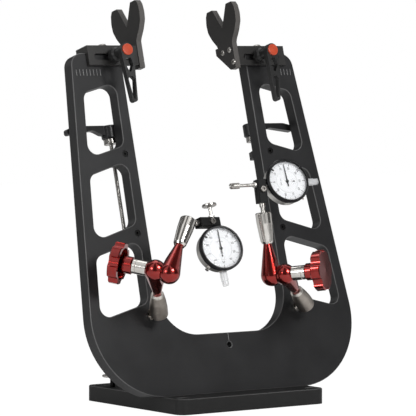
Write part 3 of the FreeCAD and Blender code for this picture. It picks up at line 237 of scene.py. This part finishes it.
peg_head = turned_metal("peg_head", (0.42, 0.40, 0.38), (0.56, 0.54, 0.52), roughness=0.3)
head_tall = 0.004
peg_low, peg_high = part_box("storage_posts")
shank = peg_head.along(peg_head.where, (0, 0, 1)) < peg_high[2] - head_tall
peg_head.set(Base_Color=peg_head.mixed(shank, peg_head.shade, grey(0.012)))
coat(["storage_posts"], peg_head)


# ---- stored axles and their clips -------------------------------------------------------------
# Two quick-release axles hang behind the arms in moulded black clips. Each is a bright rod with a
# forged black cam lever on its end.

def both(*endings):
    """The left and the right node of each ending."""
    return [side + ending for side in ("left_", "right_") for ending in endings]


clip_black = satin_black("clip_black", grey(0.012), grey(0.020), roughness=0.5)
cam_black = satin_black("cam_black", (0.012, 0.012, 0.013), (0.024, 0.024, 0.025), roughness=0.3)
coat(["skewer_clips"], clip_black)
coat(both("axle_lever"), cam_black)
coat(both("axle_rod"), steel)


# ---- axle brackets and V blades ---------------------------------------------------------------
# Machined saddles slide along the arms' tops and carry the V blades that the hub's axle lies in.
# Both are anodised black, and the blades' rims get a painted highlight. Bright screws hold the
# blades.

blade_black = satin_black("blade_black", (0.013, 0.0122, 0.0115), (0.022, 0.0205, 0.0195),
                          roughness=0.4)
# Painted highlight: the blades' thickness faces, which face the light, are coloured paler.
lit_rim = blade_black.near(blade_black.facing((1, 0, 0)), 0.0, reach=0.3)
blade_black.set(Base_Color=blade_black.mixed(lit_rim, blade_black.shade, (0.085, 0.08, 0.076)))
bracket_black = satin_black("bracket_black", (0.019, 0.0185, 0.018), (0.032, 0.031, 0.030),
                            roughness=0.38)
coat(both("v_blade", "blade_plate"), blade_black)
coat(both("axle_bracket"), bracket_black)
coat(both("bracket_screws"), steel)


# ---- clamp levers -----------------------------------------------------------------------------
# Each bracket is held by a forged skeleton lever on a turned hub, with a snap-in orange cap.
# The lever and its hub are enamelled black, and the cap is moulded and glossy.

lever_black = satin_black("lever_black", grey(0.014), grey(0.028), roughness=0.34)
cap_orange = Paint("cap_orange", Coat_Weight=0.4, Coat_Roughness=0.1)
mottle = cap_orange.noise(160.0, detail=3.0)
cap_orange.set(Base_Color=cap_orange.between(mottle, (0.43, 0.046, 0.016), (0.52, 0.072, 0.026)),
               Roughness=cap_orange.swing(0.30, (mottle, 0.10)))
coat(both("clamp_hub", "clamp_lever"), lever_black)
coat(both("lever_cap"), cap_orange)


# ---- jointed arms -----------------------------------------------------------------------------
# Each gauge rides on two red anodised arms that meet at an elbow, with a ball in a steel sleeve at
# either end. A lobed red knob draws the elbow tight. The lower sleeve is ringed, its collar bright.

red = Paint("red_anodised", Metallic=1.0, Coat_Weight=0.8, Coat_Roughness=0.03)
red_clouds, red_grain = red.noise(45.0, detail=3.0), red.noise(1800.0, detail=3.0)
red.set(Base_Color=red.between(red_clouds, (0.25, 0.009, 0.006), (0.33, 0.016, 0.011)),
        Roughness=red.swing(0.18, (red_grain, 0.08)),
        Normal=red.bumped(red_grain, depth=0.00001, strength=0.12))
coat(both("lower_arm", "upper_arm", "elbow_knob"), red)
coat(both("elbow_collar", "upper_sleeve"), nickel)

joint = {row["name"]: row for row in frame["joints"]}
collar_from_elbow, ring_pitch, ring_deep = 0.0468, 0.0024166, 0.00012
for side in ("left_", "right_"):
    ball = Vector(joint[side + "base_ball_swing"]["pos_m"])
    elbow = Vector(joint[side + "elbow_bend"]["pos_m"])
    axis = (elbow - ball).normalized()
    satin_steel = turned_metal(side + "satin_steel", (0.29, 0.257, 0.228), (0.42, 0.38, 0.34),
                               roughness=0.34)
    past_elbow = satin_steel.along(satin_steel.where, axis) - elbow.dot(axis)
    rings = satin_steel.maths("SINE", past_elbow * (math.tau / ring_pitch), 0.0)
    collar = past_elbow > -collar_from_elbow
    satin_steel.set(Base_Color=satin_steel.mixed(collar, satin_steel.shade, (0.68, 0.65, 0.6)),
                    Normal=satin_steel.bumped(rings, ring_deep, strength=0.8))
    coat([side + "lower_sleeve"], satin_steel)


# ---- gauge holders ----------------------------------------------------------------------------
# A black block on a steel ball stud pinches the gauge's stem with one screw. The block is blasted
# and matt, so that it takes hardly any sheen.

holder_black = satin_black("holder_black", grey(0.004), grey(0.010), roughness=0.5, sheen=0.15)
dull_steel = turned_metal("dull_steel", (0.17, 0.16, 0.15), (0.25, 0.24, 0.225), roughness=0.42)
coat(both("gauge_holder"), holder_black)
coat(both("gauge_ball_stud"), steel)
coat(both("pinch_screw"), dull_steel)


# ---- dial gauges' cases -----------------------------------------------------------------------
# Each gauge is a satin metal cup with a black turning bezel, a white dial, a long black needle and
# a small turn counter. The tail of its bright spindle stands out under a clear moulded cap.

case_metal = turned_metal("case_metal", (0.68, 0.665, 0.64), (0.82, 0.80, 0.77), roughness=0.38)
bezel_black = satin_black("bezel_black", (0.003, 0.003, 0.004), (0.006, 0.006, 0.007),
                          roughness=0.3, sheen=0.2)
needle_black = satin_black("needle_black", grey(0.006), grey(0.010), roughness=0.5)
coat(both("gauge_case"), case_metal)
coat(both("gauge_bezel"), bezel_black)
coat(both("gauge_needle", "gauge_counter"), needle_black)
coat(both("gauge_spindle"), steel)

dial_white = Paint("dial_white")
fibres = dial_white.noise(700.0, detail=4.0)
dial_white.set(Base_Color=dial_white.between(fibres, (0.90, 0.91, 0.93), (0.95, 0.96, 0.98),
                                             low=0.2, high=0.8),
               Roughness=dial_white.swing(0.55, (fibres, 0.2)))
coat(both("gauge_dial", "gauge_face"), dial_white)

cap_clear = Paint("cap_clear", Alpha=0.38)
haze = cap_clear.noise(300.0, detail=3.0)
cap_clear.set(Base_Color=cap_clear.between(haze, (0.74, 0.75, 0.76), (0.86, 0.87, 0.88)),
              Roughness=cap_clear.swing(0.17, (haze, 0.1)))
coat(both("gauge_cap"), cap_clear)


# ---- dials' print -----------------------------------------------------------------------------
# Three lengths of line, the tens and the unit are printed in black on the dial, and ten short
# lines round the turn counter. The dial's lines and tens turn with the bezel, unlike the rest.

mm = 0.001
ink, print_up = 0.05 * mm, 7.3 * mm
# Each ring of lines: how many, how far out they start and how wide they are.
dial_rings = ((100, 24.0 * mm, 0.18 * mm), (20, 22.8 * mm, 0.30 * mm), (10, 21.8 * mm, 0.55 * mm))
line_end = 26.2 * mm
tens_out, tens_tall = 18.6 * mm, 4.0 * mm
counter_inner, counter_outer, counter_line = 3.4 * mm, 4.4 * mm, 0.20 * mm
unit_up, unit_tall = 9.0 * mm, 2.6 * mm
ink_black = satin_black("ink_black", (0.008, 0.008, 0.010), (0.015, 0.015, 0.018), roughness=0.6,
                        sheen=0.1)


def pick(*pieces):
    """Selects these pieces alone, with the first of them active."""
    bpy.ops.object.select_all(action="DESELECT")
    for piece in reversed(pieces):
        piece.select_set(True)
        bpy.context.view_layer.objects.active = piece


def settle():
    """Puts the picked piece's place, turn and scale into its mesh."""
    bpy.ops.object.transform_apply(location=True, rotation=True, scale=True)


def joined(pieces):
    pick(*pieces)
    bpy.ops.object.join()
    return pieces[0]


def seat(piece, name, axes, paint, body):
    """Puts a finished piece, made about the origin, in its place with its finish and body."""
    piece.name = piece.data.name = name
    piece.matrix_world = axes
    pick(piece)
    settle()
    piece.data.materials.clear()
    piece.data.materials.append(paint.material)
    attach(piece, body)


def gauge_axes(side, pivot):
    """Z out of the dial and Y along the gauge's stem, from the pivot of one of its joints."""
    face = Vector(joint[side + "_bezel_turn"]["axis"]).normalized()
    stem = -Vector(joint[side + "_plunger_travel"]["axis"]).normalized()
    axes = Matrix((stem.cross(face), stem, face)).transposed().to_4x4()
    return Matrix.Translation(joint[side + pivot]["pos_m"]) @ axes


def ring_of_lines(count, inner, outer, width):
    """Printed lines round a centre: one thin bar, spun into count copies."""
    pick()
    bpy.ops.mesh.primitive_cube_add(size=1, location=(0, (inner + outer) / 2, print_up + ink / 2),
                                    scale=(width, outer - inner, ink))
    bar = bpy.context.object
    settle()
    bpy.ops.object.mode_set(mode="EDIT")
    bpy.ops.mesh.select_all(action="SELECT")
    bpy.ops.mesh.spin(steps=count - 1, dupli=True, angle=math.tau * (count - 1) / count,
                      center=(0, 0, 0), axis=(0, 0, 1))
    bpy.ops.object.mode_set(mode="OBJECT")
    return bar


def words(text, tall, x, y):
    """Printed figures or words, upright on the dial."""
    pick()
    bpy.ops.object.text_add(location=(x, y, print_up))
    label = bpy.context.object
    label.data.body, label.data.size, label.data.extrude = text, tall, ink / 2
    label.data.align_x, label.data.align_y = "CENTER", "CENTER"
    bpy.ops.object.convert(target="MESH")
    settle()
    return bpy.context.object


def dial_print():
    """The three rings of lines, and the tens from 0 to 90."""
    pieces = [ring_of_lines(count, inner, line_end, width) for count, inner, width in dial_rings]
    for step in range(10):
        turn = math.tau * step / 10
        pieces.append(words(str(step * 10), tens_tall, tens_out * math.sin(turn),
                            tens_out * math.cos(turn)))
    return joined(pieces)


for side in ("left", "right"):
    dial_axes, counter_axes = gauge_axes(side, "_bezel_turn"), gauge_axes(side, "_counter_turn")
    seat(dial_print(), side + "_dial_print", dial_axes, ink_black, side + "_bezel")
    seat(ring_of_lines(10, counter_inner, counter_outer, counter_line), side + "_counter_print",
         counter_axes, ink_black, side + "_gauge")
    seat(words("0.01 mm", unit_tall, 0, unit_up), side + "_unit_print", dial_axes, ink_black,
         side + "_gauge")


# ---- crystals ---------------------------------------------------------------------------------
# A clear moulded disc is snapped into each bezel, low at its rim and rising in two shallow steps
# to its middle. It is nearly as clear as air, with faint smears.

crystal_half, crystal_thick, crystal_up = 27.8 * mm, 0.8 * mm, 10.6 * mm
crystal_steps = ((3.0 * mm, 0.0), (6.0 * mm, 0.3 * mm), (8.0 * mm, 0.15 * mm))
crystal = Paint("crystal", Base_Color=(0.25, 0.26, 0.27), Alpha=0.05)
crystal.set(Roughness=crystal.swing(0.06, (crystal.noise(35.0, detail=3.0), 0.08)))


def crystal_disc():
    """A disc whose top is inset and raised by each (inset, rise) in turn."""
    pick()
    bpy.ops.mesh.primitive_cylinder_add(vertices=96, radius=crystal_half, depth=crystal_thick,
                                        location=(0, 0, crystal_up))
    disc = bpy.context.object
    settle()
    bpy.ops.object.mode_set(mode="EDIT")
    bpy.ops.mesh.select_all(action="DESELECT")
    bpy.ops.object.mode_set(mode="OBJECT")
    for face in disc.data.polygons:
        face.select = face.normal.z > 0.9
    bpy.ops.object.mode_set(mode="EDIT")
    for inset, rise in crystal_steps:
        bpy.ops.mesh.inset(thickness=inset)
        bpy.ops.transform.translate(value=(0, 0, rise))
    bpy.ops.object.mode_set(mode="OBJECT")
    return disc


for side in ("left", "right"):
    seat(crystal_disc(), side + "_crystal", gauge_axes(side, "_bezel_turn"), crystal,
         side + "_bezel")


# ---- floor ------------------------------------------------------------------------------------
# A pale floor lies just under the base plate. It glows white to the eye and still takes the
# stand's shadow.

floor_across, floor_gap = 12, 0.0005
pick()
bpy.ops.mesh.primitive_plane_add(size=floor_across, location=(0, 0, -floor_gap))
floor = bpy.context.object
floor.name = "floor"
floor_white = Paint("floor_white", Base_Color=grey(0.9), Roughness=0.9)
seen = floor_white.add("ShaderNodeLightPath", out="Is Camera Ray")
glow = floor_white.add("ShaderNodeEmission", None, {"Color": grey(1.0), "Strength": 1.08})
lit = Wire(floor_white, floor_white.surface.outputs[0])
blend = floor_white.add("ShaderNodeMixShader", None, {0: 0.9 * seen, 1: lit, 2: glow})
floor_white.fill(floor_white.tree.nodes["Material Output"], "Surface", blend)
floor.data.materials.append(floor_white.material)


# ---- studio -----------------------------------------------------------------------------------
# The room is white to the eye. What shines sees pale walls with four dark panels between them, and
# three round soft lamps stand at its side, in front and above.

class Room(Paint):
    """The studio's walls, painted by direction."""

    def __init__(self, name):
        self.material = bpy.data.worlds.new(name)
        self.begin("Background", "Generated")

    def toward(self, axis):
        return self.add("ShaderNodeSeparateXYZ", None, {"Vector": self.where}, axis)

    def ray(self, kind):
        return self.add("ShaderNodeLightPath", out="Is %s Ray" % kind)


# Each wall and panel: where it ends, as a share of a full turn, and how bright it is.
walls = ((0.081, 0.85), (0.201, 0.14), (0.303, 0.85), (0.428, 0.10), (0.534, 0.70),
         (0.762, 0.08), (0.839, 0.75), (0.956, 0.12), (1.0, 0.85))
blur, daylight = 0.006, 0.40
room = Room("studio")
bearing = room.maths("ARCTAN2", room.toward("Y"), room.toward("X")) * (1 / math.tau) + 0.5
stops, start = [], 0.0
for end, bright in walls:
    stops += [(start + blur, grey(bright)), (end - blur, grey(bright))]
    start = end
shine = room.shades(bearing, *stops) * (0.4 * room.toward("Z") + 0.8)
glossy = room.ray("Glossy")
open_air = room.maths("MAXIMUM", room.ray("Camera"), room.ray("Transmission"))
hidden = 1 - open_air
room.set(Color=grey(1.0),
         Strength=open_air + hidden * glossy * shine + hidden * (1 - glossy) * daylight)
bpy.context.scene.world = room.material

middle = Vector((0, 0, 0.27))


def softbox(name, place, across, power):
    """A round lamp that faces the middle of the stand."""
    lamp = bpy.data.lights.new(name, "AREA")
    lamp.shape, lamp.size, lamp.energy = "DISK", across, power
    holder = bpy.data.objects.new(name, lamp)
    bpy.context.scene.collection.objects.link(holder)
    holder.location = place
    holder.rotation_euler = (middle - Vector(place)).to_track_quat("-Z", "Y").to_euler()


softbox("side", (-2.05, -0.60, 1.00), across=0.62, power=10)
softbox("front", (0.10, -1.45, 1.10), across=0.6, power=16)
softbox("top", (0.3, 0.6, 2.2), across=1.4, power=8)


# ---- camera -----------------------------------------------------------------------------------
# A long lens stands far off to the front left, hardly above the level of the stand's middle. The
# point that it aims at lies in front of the stand, on the line to its middle.

aim = Vector((-0.205, -0.290, 0.274))
turn, rise, away = math.radians(-35.89), math.radians(2.80), 3.585
back = Vector((math.sin(turn) * math.cos(rise), -math.cos(turn) * math.cos(rise), math.sin(rise)))
lens = bpy.data.cameras.new("camera")
lens.sensor_width, lens.lens = 36.0, 258.5
camera = bpy.data.objects.new("camera", lens)
bpy.context.scene.collection.objects.link(camera)
camera.location = aim + away * back
camera.rotation_euler = (-back).to_track_quat("-Z", "Y").to_euler()
bpy.context.scene.camera = camera
bpy.context.scene.view_settings.view_transform = "Standard"
